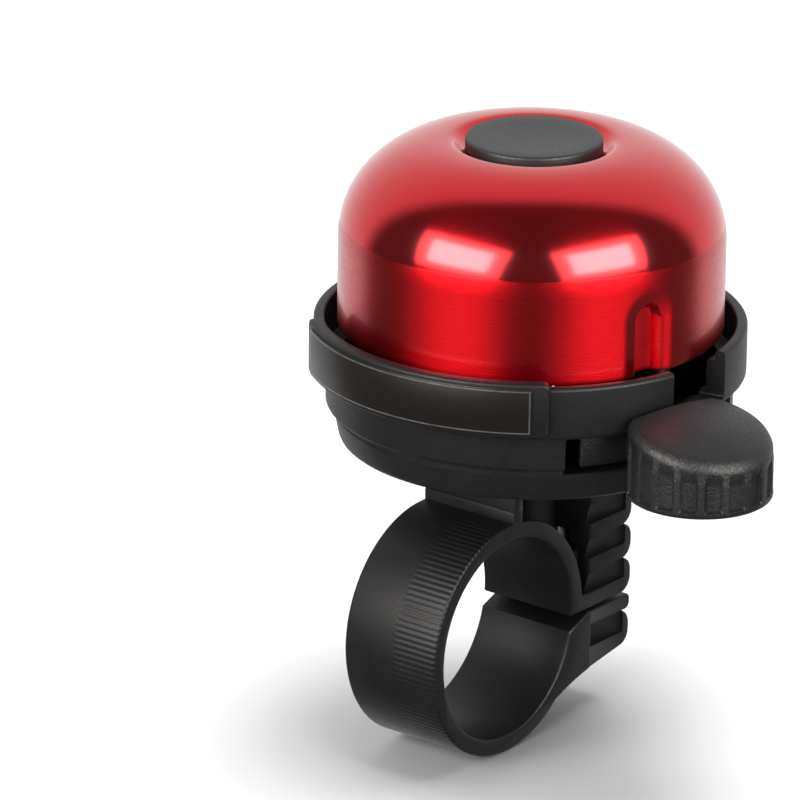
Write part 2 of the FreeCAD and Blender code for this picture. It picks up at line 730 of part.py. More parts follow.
def coil(name, radius, wire, pitch, quarter_turns, leg):
    """A torsion spring: round wire along short arcs of a helix, with a straight leg at each end."""
    radius, wire, pitch, quarters, leg = (value(size) for size in (radius, wire, pitch, quarter_turns, leg))

    def place(eighths):
        turn = math.pi / 4 * eighths
        return FreeCAD.Vector(radius * math.cos(turn), radius * math.sin(turn), pitch * eighths / 8)

    arcs = [Part.Arc(place(2 * n), place(2 * n + 1), place(2 * n + 2)) for n in range(int(quarters))]
    start = place(0)
    end = place(2 * quarters)
    towards = FreeCAD.Vector(0, 1, 0)
    onwards = FreeCAD.Vector(-end.y, end.x, 0).normalize()
    first_leg = Part.LineSegment(start - towards * leg, start)
    last_leg = Part.LineSegment(end, end + onwards * leg)
    path = Part.Wire([edge.toShape() for edge in (first_leg, *arcs, last_leg)])
    section = Part.Wire([Part.Circle(start - towards * leg, towards, wire).toShape()])
    spring = doc.addObject("Part::Feature", name)
    spring.Shape = path.makePipeShell([section], True)
    return spring


def lever_spring():
    """The return spring round the hub, between the base's peg and the lever's peg."""
    spring = coil("return_coil", "return_coil_radius", "return_wire_radius", "return_pitch", "return_quarters",
                  "return_leg")
    at(spring, z=f"{FAN_TOP} + return_wire_radius + free_gap", turn="fan_start - 22")
    return on_bell(group("lever_spring", spring))


def hammer_spring():
    """The small spring round the pin boss that holds the striker off the dome."""
    spring = coil("hammer_coil", "hammer_coil_radius", "hammer_wire_radius", "hammer_pitch", "hammer_quarters",
                  "hammer_leg")
    at(spring, z=f"{FAN_TOP} + hammer_wire_radius + free_gap", turn="90")
    return on_pivot(group("hammer_spring", spring))


def housing_screws():
    """The three screws driven up through the disc into the housing's bosses."""
    screws = []
    for number, place in enumerate(SCREW_PLACES):
        shank = cylinder(f"housing_shank_{number}", "housing_screw_radius", "housing_head / 2",
                         "housing_screw_length", *place)
        head = cylinder(f"housing_head_{number}", "housing_head_radius", "free_gap", "housing_head", *place)
        solid = fuse(f"housing_screw_solid_{number}", shank, head)
        slot = cross_recess(f"housing_cross_{number}", "free_gap", "housing_head / 2", *place)
        screws.append(cut(f"housing_screw_{number}", solid, slot))
    return on_bell(group("housing_screws", *screws))


def clamp_screw():
    """The pan-head screw that draws the lower lug up to the neck."""
    head_top = f"{SCREW_SEAT} - washer_thick"
    head = doc.addObject("PartDesign::Body", "screw_body")
    section = outline(head, "screw_section", "XZ_Plane", [
        ("0", f"{head_top} - screw_head"),
        ("screw_head_radius * 0.75", f"{head_top} - screw_head"),
        ("screw_head_radius", f"{head_top} - screw_head * 0.6"),
        ("screw_head_radius", head_top),
        ("screw_radius", head_top),
        ("screw_radius", "screw_reach"),
        ("0", "screw_reach"),
    ])
    turn = head.newObject("PartDesign::Revolution", "screw_turn")
    turn.Profile = section
    turn.ReferenceAxis = (section, ["V_Axis"])
    slot = cross_recess("screw_cross", f"{head_top} - screw_head", "cross_depth")
    return at(cut("clamp_screw", head, slot), y="screw_axis")


def clamp_washer():
    """The washer under the clamp screw's head."""
    return at(turned("clamp_washer", [
        ("screw_radius + free_gap", f"{SCREW_SEAT} - washer_thick"),
        ("washer_radius", f"{SCREW_SEAT} - washer_thick"),
        ("washer_radius", SCREW_SEAT),
        ("screw_radius + free_gap", SCREW_SEAT),
    ]), y="screw_axis")


def clamp_nut():
    """The hexagon nut held in the column's pocket."""
    hexagon = doc.addObject("Part::Prism", "nut_hexagon")
    hexagon.Polygon = 6
    bind(hexagon, Circumradius="nut_flats / sqrt(3)", Height="nut_thick")
    hole = cylinder("nut_thread", "screw_radius + free_gap / 5", "-1", "nut_thick + 1")
    return at(cut("clamp_nut", hexagon, hole), y="screw_axis", z="nut_level")


name_part("clamp_base", clamp_base())
name_part("upper_housing", upper_housing())
name_part("label_plate", label_plate())
name_part("dome", dome())
name_part("dome_cap", dome_cap())
name_part("cap_insert", cap_insert())
name_part("dome_washer", seat_washer())
name_part("dome_sleeve", dome_sleeve())
name_part("centre_post", centre_post())
name_part("thrust_washer", thrust_washer())
name_part("thumb_lever", thumb_lever())
name_part("lever_spring", lever_spring())
name_part("hammer_arm", hammer_arm())
name_part("hammer_head", hammer_head())
name_part("hammer_pin", hammer_pin())
name_part("pin_clip", pin_clip())
name_part("hammer_spring", hammer_spring())
name_part("housing_screws", housing_screws())
name_part("clamp_screw", clamp_screw())
name_part("clamp_washer", clamp_washer())
name_part("clamp_nut", clamp_nut())

doc.recompute()
for item in doc.Objects:
    if "Invalid" in item.State or "Error" in item.State:
        raise RuntimeError(f"{item.Name} failed: {item.State}")

os.makedirs("parts", exist_ok=True)
for node, item in parts.items():
    shape = item.Shape
    if shape.isNull() or not shape.isValid() or not shape.Solids:
        raise RuntimeError(f"{node} has no valid solid")
    shape.exportStep(os.path.join("parts", f"{node}.step"))
    size = shape.BoundBox
    print(f"{node}: {len(shape.Solids)} solid(s), {shape.Volume:.1f} mm3, "
          f"{size.XLength:.2f} x {size.YLength:.2f} x {size.ZLength:.2f}")
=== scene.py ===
"""A thumb-lever bicycle bell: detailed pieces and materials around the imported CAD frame.

Shapes are drawn in millimetres. Bell pieces are drawn about the bell's own axis, with level 0 at the
underside of the base disc, and placed by the frame's own boxes.
"""
import math
import bmesh
import bpy
from mathutils import Matrix, Vector


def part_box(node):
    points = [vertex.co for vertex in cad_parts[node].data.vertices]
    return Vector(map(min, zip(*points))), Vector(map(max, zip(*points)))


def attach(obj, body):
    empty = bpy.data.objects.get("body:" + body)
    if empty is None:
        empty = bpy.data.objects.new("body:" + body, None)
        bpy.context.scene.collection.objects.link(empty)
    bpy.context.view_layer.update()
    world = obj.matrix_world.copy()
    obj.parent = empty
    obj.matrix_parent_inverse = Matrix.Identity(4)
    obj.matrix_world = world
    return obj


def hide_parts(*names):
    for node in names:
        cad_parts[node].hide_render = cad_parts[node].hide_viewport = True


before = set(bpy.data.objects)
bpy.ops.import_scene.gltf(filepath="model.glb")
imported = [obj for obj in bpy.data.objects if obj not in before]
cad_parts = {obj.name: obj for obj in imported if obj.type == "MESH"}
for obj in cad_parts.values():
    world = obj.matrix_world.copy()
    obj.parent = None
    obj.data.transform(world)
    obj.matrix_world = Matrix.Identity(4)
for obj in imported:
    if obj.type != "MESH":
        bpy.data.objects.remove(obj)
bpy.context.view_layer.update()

MM = 0.001


def span(node):
    """A CAD node's lowest and highest corners, in millimetres."""
    low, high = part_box(node)
    return low / MM, high / MM


DOME_LOW, DOME_HIGH = span("dome")
BASE_LOW, BASE_HIGH = span("clamp_base")
HOUSING_LOW, HOUSING_HIGH = span("upper_housing")
CAP_LOW, CAP_HIGH = span("dome_cap")
LEVER_LOW, _ = span("thumb_lever")
PLATE_LOW, PLATE_HIGH = span("label_plate")
SCREW_LOW, SCREW_HIGH = span("clamp_screw")
NUT_LOW, NUT_HIGH = span("clamp_nut")

BELL_Y = (DOME_LOW.y + DOME_HIGH.y) / 2
DISC_RADIUS = BASE_HIGH.x
DISC_THICK = 3.1
DISC_UNDER = HOUSING_LOW.z - DISC_THICK
BAND_OUTER = -BASE_LOW.z
BAND_WALL = 1.9
BORE = BAND_OUTER - BAND_WALL
HALF_BAND = 6.05
SCREW_AXIS = (SCREW_LOW.y + SCREW_HIGH.y) / 2


# ---------------------------------------------------------------- outlines

def rounded(corners):
    """A closed outline through (x, y, radius) corners, each turned by an arc of its radius."""
    step = 12
    longest = 0.49
    points = []
    count = len(corners)
    for index, (x, y, radius) in enumerate(corners):
        here = Vector((x, y))
        if radius <= 0:
            points.append(here)
            continue
        back = Vector(corners[index - 1][:2]) - here
        ahead = Vector(corners[(index + 1) % count][:2]) - here
        half = back.angle(ahead) / 2
        reach = min(radius / math.tan(half), back.length * longest, ahead.length * longest)
        radius = reach * math.tan(half)
        centre = here + (back.normalized() + ahead.normalized()).normalized() * (radius / math.sin(half))
        first = here + back.normalized() * reach - centre
        last = here + ahead.normalized() * reach - centre
        swing = first.angle_signed(last)
        pieces = max(2, math.ceil(abs(math.degrees(swing)) / step))
        for k in range(pieces + 1):
            turn = Matrix.Rotation(-swing * k / pieces, 2)
            points.append(centre + turn @ first)
    return points


def arc(centre, radius, start, end, pieces):
    """Points along a circle from the start angle to the end angle, in degrees."""
    points = []
    for k in range(pieces + 1):
        angle = math.radians(start + (end - start) * k / pieces)
        points.append(Vector(centre) + radius * Vector((math.cos(angle), math.sin(angle))))
    return points


def divided(points, step):
    """The closed outline with no edge longer than step."""
    result = []
    for index, here in enumerate(points):
        after = points[(index + 1) % len(points)]
        pieces = max(1, math.ceil((after - here).length / step))
        result += [here.lerp(after, k / pieces) for k in range(pieces)]
    return result


def inset(points, depth):
    """The outline moved inwards (it runs counter-clockwise) by a small depth. The lean's limit
    keeps a sharp corner from moving too far."""
    nothing = 1e-6
    sharpest = 0.35
    if depth < nothing:
        return points
    moved = []
    count = len(points)
    for index, here in enumerate(points):
        before = (here - points[index - 1]).normalized()
        after = (points[(index + 1) % count] - here).normalized()
        left = Vector((-before.y, before.x)) + Vector((-after.y, after.x))
        left.normalize()
        lean = max(sharpest, left.dot(Vector((-after.y, after.x))))
        moved.append(here + left * depth / lean)
    return moved


# ---------------------------------------------------------------- meshes

def new_object(name, mesh):
    """An object in the scene that holds the mesh."""
    piece = bpy.data.objects.new(name, mesh)
    bpy.context.scene.collection.objects.link(piece)
    return piece


def face_outwards(bm):
    """Turn every face of a closed mesh to point out of it."""
    bmesh.ops.recalc_face_normals(bm, faces=bm.faces)
    if bm.calc_volume(signed=True) < 0:
        bmesh.ops.reverse_faces(bm, faces=bm.faces)


def from_bmesh(name, bm, smooth=35):
    """A closed object from a mesh drawn in millimetres."""
    face_outwards(bm)
    mesh = bpy.data.meshes.new(name)
    bm.to_mesh(mesh)
    bm.free()
    mesh.transform(Matrix.Scale(MM, 4))
    piece = new_object(name, mesh)
    soften(piece, smooth)
    return piece


def soften(piece, angle=35):
    """Smooth shading, with edges sharper than the angle kept crisp."""
    mesh = piece.data
    mesh.polygons.foreach_set("use_smooth", [True] * len(mesh.polygons))
    mesh.set_sharp_from_angle(angle=math.radians(angle))


def lathe(name, profile, segments, smooth=35, wrap=True, place=None):
    """A closed solid turned about Z. The profile is (radius, level) points; those on the axis are shared.
    Its UV map holds the turn and the level, in turns and centimetres. place moves each point."""
    nothing = 1e-4
    bm = bmesh.new()
    rings = []
    for radius, level in profile:
        if radius < nothing:
            rings.append([bm.verts.new((0, 0, level))] * segments)
            continue
        ring = []
        for k in range(segments):
            angle = 2 * math.pi * k / segments
            point = Vector((radius * math.cos(angle), radius * math.sin(angle), level))
            ring.append(bm.verts.new(place(point, angle) if place else point))
        rings.append(ring)
    layer = bm.loops.layers.uv.new("turned")
    pairs = list(zip(rings, rings[1:] + rings[:1], profile, profile[1:] + profile[:1]))
    if not wrap:
        pairs.pop()
    for low, high, here, there in pairs:
        for k in range(segments):
            after = (k + 1) % segments
            corners = [low[k], low[after], high[after], high[k]]
            turns = [k, k + 1, k + 1, k]
            levels = [here[1], here[1], there[1], there[1]]
            kept = [i for i in range(4) if corners[i] not in corners[:i]]
            if len(kept) < 3:
                continue
            face = bm.faces.new([corners[i] for i in kept])
            for loop, i in zip(face.loops, kept):
                loop[layer].uv = (turns[i] / segments, levels[i] / 10)
    return from_bmesh(name, bm, smooth)


def prism(name, outline, low, high, edge, steps, axis="X"):
    """A plate of the outline between two offsets along an axis, with rounded edges.
    For axis X the outline is in Y and Z, and for axis Y it is in X and Z."""
    def lift(point, offset):
        return (offset, point.x, point.y) if axis == "X" else (point.x, offset, point.y)

    levels = []
    for k in range(steps + 1):
        angle = math.pi / 2 * k / steps
        levels.append((low + edge * (1 - math.sin(angle)), edge * (1 - math.cos(angle))))
    top = [(high + low - offset, depth) for offset, depth in levels]
    bm = bmesh.new()
    rings = []
    for offset, depth in levels[::-1] + top:
        rings.append([bm.verts.new(lift(p, offset)) for p in inset(outline, depth)])
    count = len(outline)
    for ring_a, ring_b in zip(rings, rings[1:]):
        for k in range(count):
            after = (k + 1) % count
            bm.faces.new((ring_a[k], ring_a[after], ring_b[after], ring_b[k]))
    bm.faces.new(rings[0])
    bm.faces.new(rings[-1])
    return from_bmesh(name, bm)


def block(name, low, high, edge, steps):
    """A box between two corners with rounded edges."""
    bm = bmesh.new()
    bmesh.ops.create_cube(bm, size=1)
    size = Vector(high) - Vector(low)
    for vert in bm.verts:
        vert.co = Vector(low) + Vector([(c + 0.5) * s for c, s in zip(vert.co, size)])
    bmesh.ops.bevel(bm, geom=list(bm.edges), offset=edge, segments=steps, profile=0.5, affect="EDGES")
    return from_bmesh(name, bm)


def rod(name, radius, low, high, x, y, segments=48, edge=0.15):
    """An upright cylinder with rounded ends."""
    turn = edge * 0.3
    profile = [
        (0, low),
        (radius - edge, low),
        (radius - turn, low + turn),
        (radius, low + edge),
        (radius, high - edge),
        (radius - turn, high - turn),
        (radius - edge, high),
        (0, high),
    ]
    piece = lathe(name, profile, segments, wrap=False)
    piece.data.transform(Matrix.Translation(Vector((x, y, 0)) * MM))
    return piece


def bent(name, inner, outer, low, high, start, end, edge, corner, step=1.5, steps=3):
    """A block bent round Z: between two radii, two levels and two angles, with rounded corners and edges.
    It is bent in strips no wider than step degrees."""
    middle = math.radians((start + end) / 2)
    reach = math.radians(end - start) / 2 * outer
    sides = [(-reach, low), (reach, low), (reach, high), (-reach, high)]
    outline = rounded([(along, level, corner) for along, level in sides])
    piece = prism(name, outline, inner, outer, edge, steps, axis="Y")
    bm = bmesh.new()
    bm.from_mesh(piece.data)
    strips = math.ceil((end - start) / step)
    for k in range(1, strips):
        cut = -reach + 2 * reach * k / strips
        geometry = list(bm.verts) + list(bm.edges) + list(bm.faces)
        bmesh.ops.bisect_plane(bm, geom=geometry, plane_co=(cut * MM, 0, 0), plane_no=(1, 0, 0))
    for vert in bm.verts:
        along, depth, level = vert.co
        angle = middle + along / (outer * MM)
        vert.co = (depth * math.cos(angle), depth * math.sin(angle), level)
    face_outwards(bm)
    bm.to_mesh(piece.data)
    bm.free()
    soften(piece)
    return piece


def combine(name, target, joined=(), removed=(), smooth=35):
    """One mesh: the target joined with some pieces, less some others. The other pieces are used up."""
    steps = [("UNION", other) for other in joined] + [("DIFFERENCE", other) for other in removed]
    for operation, other in steps:
        change = target.modifiers.new("combine", "BOOLEAN")
        change.operation = operation
        change.solver = "MANIFOLD"
        change.object = other
        graph = bpy.context.evaluated_depsgraph_get()
        mesh = bpy.data.meshes.new_from_object(target.evaluated_get(graph))
        target.modifiers.clear()
        target.data = mesh
        bpy.data.objects.remove(other)
    target.name = name
    target.data.name = name
    soften(target, smooth)
    return target


def to_bell(piece):
    """Move a piece drawn about the bell's own axis to its place in the frame."""
    piece.data.transform(Matrix.Translation(Vector((0, BELL_Y, DISC_UNDER)) * MM))
    return piece


def around(radius, angle):
    """X and Y at a radius and an angle in degrees."""
    angle = math.radians(angle)
    return radius * math.cos(angle), radius * math.sin(angle)


# ---------------------------------------------------------------- materials

class Shader:
    """A node material in the making: a Principled shader and short calls for what feeds it."""

    def __init__(self, name, **uniform):
        self.material = bpy.data.materials.new(name)
        self.material.use_nodes = True
        self.tree = self.material.node_tree
        self.bsdf = self.tree.nodes["Principled BSDF"]
        for socket, setting in uniform.items():
            self.bsdf.inputs[socket.replace("_", " ")].default_value = setting

    def node(self, kind, **settings):
        made = self.tree.nodes.new(kind)
        for key, setting in settings.items():
            setattr(made, key, setting)
        return made

    def link(self, source, target):
        self.tree.links.new(source, target)

    def position(self, scale=(1, 1, 1)):
        coordinates = self.node("ShaderNodeTexCoord")
        mapping = self.node("ShaderNodeMapping")
        mapping.inputs["Scale"].default_value = scale
        self.link(coordinates.outputs["Object"], mapping.inputs["Vector"])
        return mapping.outputs["Vector"]

    def noise(self, vector, scale, detail, roughness=0.5):
        noise = self.node("ShaderNodeTexNoise")
        noise.inputs["Scale"].default_value = scale
        noise.inputs["Detail"].default_value = detail
        noise.inputs["Roughness"].default_value = roughness
        self.link(vector, noise.inputs["Vector"])
        return noise.outputs["Fac"]

    def ramp(self, factor, low, high, from_low=0.0, from_high=1.0):
        """Numbers from low to high as the factor goes from from_low to from_high."""
        spread = self.node("ShaderNodeMapRange")
        limits = {"From Min": from_low, "From Max": from_high, "To Min": low, "To Max": high}
        for socket, number in limits.items():
            spread.inputs[socket].default_value = number
        self.link(factor, spread.inputs["Value"])
        return spread.outputs["Result"]

    def blend(self, factor, first, second):
        """A colour between two colours."""
        mix = self.node("ShaderNodeMix", data_type="RGBA")
        mix.inputs["A"].default_value = (*first, 1)
        mix.inputs["B"].default_value = (*second, 1)
        self.link(factor, mix.inputs["Factor"])
        return mix.outputs["Result"]

    def maths(self, operation, first, second=None):
        made = self.node("ShaderNodeMath", operation=operation)
        for socket, source in zip(made.inputs, (first, second)):
            if isinstance(source, (int, float)):
                socket.default_value = source
            elif source is not None:
                self.link(source, socket)
        return made.outputs["Value"]

    def bump(self, height, depth, strength=1.0):
        bump = self.node("ShaderNodeBump")
        bump.inputs["Strength"].default_value = strength
        bump.inputs["Distance"].default_value = depth
        self.link(height, bump.inputs["Height"])
        self.link(bump.outputs["Normal"], self.bsdf.inputs["Normal"])

    def separate(self, vector):
        """The X, Y and Z outputs of a vector."""
        apart = self.node("ShaderNodeSeparateXYZ")
        self.link(vector, apart.inputs["Vector"])
        return apart.outputs

    def colour(self, source):
        self.link(source, self.bsdf.inputs["Base Color"])

    def rough(self, source):
        self.link(source, self.bsdf.inputs["Roughness"])


def plastic(name, dark, light, rough_low, rough_high, grain, depth, gloss=0.24, lined=False):
    """Moulded nylon: a fine spark-eroded grain, slow colour drift and slightly uneven gloss.
    A lined one also has fine lines along the bar on the near half of the band's outside."""
    shader = Shader(name, Metallic=0.0, Specular_IOR_Level=gloss)
    place = shader.position()
    drift = shader.noise(place, 160, 3)
    fine = shader.noise(place, grain, 3, 0.6)
    shader.colour(shader.blend(shader.ramp(drift, 0, 1, 0.3, 0.7), dark, light))
    shader.rough(shader.ramp(fine, rough_low, rough_high, 0.35, 0.65))
    shader.bump(shader.maths("ADD", fine, band_lines(shader)) if lined else fine, depth)
    return shader.material


def band_lines(shader):
    """Shallow lines along the handlebar, only outside the band and only on its +X half."""
    lines_round = 130.0
    near_surface = 0.0001
    off_surface = 0.0003
    outer = BAND_OUTER * MM
    apart = shader.separate(shader.position())
    turn = shader.maths("ARCTAN2", apart["Z"], apart["Y"])
    waves = shader.maths("SINE", shader.maths("MULTIPLY", turn, lines_round))
    squares = [shader.maths("POWER", apart[axis], 2.0) for axis in ("Y", "Z")]
    radius = shader.maths("SQRT", shader.maths("ADD", *squares))
    outside = shader.ramp(radius, 0, 1, outer - off_surface, outer - near_surface)
    inside = shader.ramp(radius, 1, 0, outer + near_surface, outer + off_surface)
    near = shader.ramp(apart["X"], 0, 0.9, 0.0003, 0.0009)
    mask = shader.maths("MULTIPLY", near, shader.maths("MULTIPLY", outside, inside))
    return shader.maths("MULTIPLY", waves, mask)


def metal(name, dark, light, rough_low, rough_high, grain=(1, 1, 1)):
    """Bare metal with a turned or drawn grain."""
    shader = Shader(name, Metallic=1.0)
    place = shader.position(grain)
    fine = shader.noise(place, 2500, 4)
    shader.colour(shader.blend(shader.ramp(fine, 0, 1, 0.3, 0.7), dark, light))
    shader.rough(shader.ramp(fine, rough_low, rough_high, 0.3, 0.7))
    shader.bump(fine, 0.00001, 0.5)
    return shader.material


def anodised():
    """Red anodised aluminium: polished crown, lathe-brushed wall below it."""
    shader = Shader("red_anodised", Metallic=1.0, Anisotropic=0.8, Anisotropic_Rotation=0.25,
                    Coat_Weight=0.6, Coat_Roughness=0.16)
    turned = shader.node("ShaderNodeUVMap", uv_map="turned")
    apart = shader.separate(turned.outputs["UV"])
    level = apart["Y"]
    lines = shader.node("ShaderNodeCombineXYZ")
    shader.link(shader.maths("MULTIPLY", apart["X"], 55.0), lines.inputs["X"])
    shader.link(shader.maths("MULTIPLY", level, 80.0), lines.inputs["Y"])
    grain = shader.noise(lines.outputs["Vector"], 1.0, 5, 0.7)
    brushed = shader.ramp(level, 1, 0, BRUSHED_TOP / 10, BRUSHED_TOP / 10 + 0.02)
    uneven = shader.ramp(grain, 0.12, 0.26, 0.3, 0.7)
    shader.rough(shader.maths("ADD", shader.maths("MULTIPLY", brushed, uneven), 0.14))
    darker = shader.maths("MULTIPLY", brushed, shader.ramp(grain, 0, 1, 0.35, 0.68))
    shader.colour(shader.blend(darker, (0.61, 0.006, 0.011), (0.36, 0.002, 0.005)))
    shader.bump(shader.maths("MULTIPLY", brushed, grain), 0.00002)
    tangent = shader.node("ShaderNodeTangent", direction_type="RADIAL", axis="Z")
    shader.link(tangent.outputs["Tangent"], shader.bsdf.inputs["Tangent"])
    return shader.material


def label_foil():
    """A glossy near-black foil with a thin pale line just inside its edge."""
    shader = Shader("label_foil", Metallic=0.0, Roughness=0.34, Specular_IOR_Level=0.3, Coat_Weight=0.1)
    plate_map = shader.node("ShaderNodeUVMap", uv_map="plate")
    apart = shader.separate(plate_map.outputs["UV"])
    edges = []
    for axis, length in (("X", PLATE_LENGTH), ("Y", PLATE_HIGH.z - PLATE_LOW.z)):
        along = apart[axis]
        edges.append(shader.maths("MINIMUM", along, shader.maths("SUBTRACT", length, along)))
    nearest = shader.maths("MINIMUM", *edges)
    inner = shader.ramp(nearest, 0, 1, 0.16, 0.22)
    outer = shader.ramp(nearest, 1, 0, 0.30, 0.36)
    line = shader.maths("MULTIPLY", inner, outer)
    speckle = shader.noise(shader.position(), 900, 3)
    worn = shader.maths("MULTIPLY", line, shader.ramp(speckle, 0.55, 1, 0.35, 0.6))
    shader.colour(shader.blend(worn, (0.010, 0.007, 0.006), (0.14, 0.13, 0.115)))
    return shader.material


# ---------------------------------------------------------------- the dome

WALL_TOP = 22.5
WALL_STEP = 0.33
BRUSHED_TOP = WALL_TOP + 1.75
SHOULDER_RADIUS = 10.2
CROWN_RADIUS = 11.9
DOME_RADIUS = DOME_HIGH.x
DOME_RIM = DOME_LOW.z - DISC_UNDER
RIM_ROUND = 0.18
SHEET = 1.0
SEAT_LEVEL = DOME_HIGH.z - DISC_UNDER - 1.0
SEAT_BORE = 3.6
CAP_RADIUS = CAP_HIGH.x
CAP_EDGE = 0.35
CAP_DISH = 0.25
CAP_SPIGOT = 3.3
INSERT_RADIUS = 2.65
INSERT_DEPTH = 5.2
DENT_ANGLE = -15.5
DENT_DEPTH = 1.45
DENT_FLOOR = 1.2
DENT_EDGE = 1.75
DENT_OUTER = 3.3
DENT_CENTRE = 19.0


def crown(offset):
    """The crown's two tangent arcs from the wall up to the top, moved inwards by an offset."""
    turn = 45
    pieces = 22
    shoulder = (DOME_RADIUS - SHOULDER_RADIUS, WALL_TOP)
    slip = (CROWN_RADIUS - SHOULDER_RADIUS) * math.cos(math.radians(turn))
    top = (shoulder[0] - slip, shoulder[1] - slip)
    lower = arc(shoulder, SHOULDER_RADIUS - offset, 0, turn, pieces)
    upper = arc(top, CROWN_RADIUS - offset, turn, 90, pieces)
    return lower + upper[1:]


def wall(radius):
    """Points up the straight wall, from the rim to just short of the crown."""
    low = DOME_RIM + RIM_ROUND
    pieces = math.ceil((WALL_TOP - low) / WALL_STEP)
    return [Vector((radius, low + (WALL_TOP - low) * k / pieces)) for k in range(pieces)]


def eased(share):
    """A share from 0 to 1 with a smooth start and finish."""
    share = max(0.0, min(1.0, share))
    return share * share * (3 - 2 * share)


def press_dent(point, angle):
    """Push a point of the wall inwards where the striking dent is pressed."""
    swing = (angle - math.radians(DENT_ANGLE) + math.pi) % (2 * math.pi) - math.pi
    aside = swing * DOME_RADIUS
    above = max(0.0, point.z - DENT_CENTRE)
    distance = math.hypot(aside, above)
    radius = math.hypot(point.x, point.y)
    if distance > DENT_OUTER or point.z > WALL_TOP or radius < DOME_RADIUS - 2 * SHEET:
        return point
    share = 0.8 * eased((DENT_EDGE - distance) / (DENT_EDGE - DENT_FLOOR))
    share += 0.2 * eased((DENT_OUTER - distance) / (DENT_OUTER - DENT_EDGE))
    shrink = (radius - DENT_DEPTH * share) / radius
    return Vector((point.x * shrink, point.y * shrink, point.z))


def dome():
    """The sheet-metal dome: outside, cap's seat, inside and rim in one closed profile."""
    inner_radius = DOME_RADIUS - SHEET
    outside = wall(DOME_RADIUS) + crown(0)
    top = outside[-1].y
    lip = CAP_RADIUS + 1.35
    seat = [
        Vector((lip + 0.25, top - 0.03)),
        Vector((lip, top - 0.12)),
        Vector((lip - 0.25, top - 0.3)),
        Vector((CAP_RADIUS + 0.55, SEAT_LEVEL + 0.18)),
        Vector((CAP_RADIUS + 0.3, SEAT_LEVEL + 0.03)),
        Vector((CAP_RADIUS, SEAT_LEVEL)),
        Vector((SEAT_BORE, SEAT_LEVEL)),
        Vector((SEAT_BORE, SEAT_LEVEL - SHEET)),
        Vector((CAP_RADIUS + 0.8, SEAT_LEVEL - SHEET)),
    ]
    inside = list(reversed(wall(inner_radius) + crown(SHEET)))
    edge = [
        Vector((inner_radius + 0.05, DOME_RIM + 0.05)),
        Vector((inner_radius + RIM_ROUND, DOME_RIM)),
        Vector((DOME_RADIUS - RIM_ROUND, DOME_RIM)),
        Vector((DOME_RADIUS - 0.05, DOME_RIM + 0.05)),
    ]
    shell = lathe("dome_shell", outside + seat + inside + edge, 448, smooth=40, place=press_dent)
    return to_bell(shell)


def dome_cap():
    """The cap: a dished disc with a rounded edge, and a spigot that holds the threaded insert."""
    top = CAP_HIGH.z - DISC_UNDER
    low = CAP_LOW.z - DISC_UNDER
    edge = [(CAP_RADIUS - CAP_EDGE + CAP_EDGE * math.sin(math.radians(turn)),
             top - CAP_EDGE + CAP_EDGE * math.cos(math.radians(turn))) for turn in (90, 70, 50, 30, 12, 0)]
    dish_radius = 0.86
    dish = [(CAP_RADIUS * share, top - CAP_DISH * (1 - (share / dish_radius) ** 2))
            for share in (dish_radius, 0.7, 0.5, 0.3, 0.12)]
    profile = [
        (0, low + INSERT_DEPTH),
        (INSERT_RADIUS, low + INSERT_DEPTH),
        (INSERT_RADIUS, low),
        (CAP_SPIGOT, low),
        (CAP_SPIGOT, SEAT_LEVEL),
        (CAP_RADIUS - 0.15, SEAT_LEVEL),
        (CAP_RADIUS, SEAT_LEVEL + 0.15),
        *edge,
        (CAP_RADIUS - 0.75, top - 0.02),
        *dish,
        (0, top - CAP_DISH),
    ]
    return to_bell(lathe("cap", profile, 160, wrap=False))


# ---------------------------------------------------------------- the lower moulding

COLUMN_START = 14.15
COLUMN_END = 21.6
CORE_END = 20.15
RIB_DEPTH = 0.65
RIB_PITCH = 3.95
SPLIT_TOP = -0.8
PLATE_TOP = 1.0
LUG_TOP = -1.2
LUG_FOOT = -6.6
LUG_ROOT_ANGLE = -49
SCREW_CIRCLE = 17.8
SCREW_PLACES = [around(SCREW_CIRCLE, 60 + 120 * k) for k in range(3)]
SPRING_CIRCLE = 8.6


def band_outline():
    """The split band seen along the bar, with the upper plate and the lower lug's root."""
    inner = arc((0, 0), BORE, math.degrees(math.asin(SPLIT_TOP / BORE)), 347, 180)
    lower_lip = [Vector((COLUMN_START, LUG_TOP - 0.02)), Vector((COLUMN_START + 0.5, LUG_TOP))]
    start = Vector((COLUMN_START, LUG_FOOT - 1.4))
    edge = Vector(around(BAND_OUTER, LUG_ROOT_ANGLE))
    middle = start.lerp(edge, 0.5) + Vector((-0.1, 0.3))
    fillet = [start.lerp(middle, t).lerp(middle.lerp(edge, t), t) for t in [k / 8 for k in range(1, 8)]]
    outer = arc((0, 0), BAND_OUTER, LUG_ROOT_ANGLE, -360 + 4.5, 200)
    plate = [Vector((COLUMN_START + 0.5, PLATE_TOP)), Vector((COLUMN_START + 0.5, SPLIT_TOP))]
    root = [Vector((COLUMN_START + 0.5, LUG_FOOT - 1.3)), start]
    return list(reversed(inner + lower_lip + root + fillet + outer + plate))


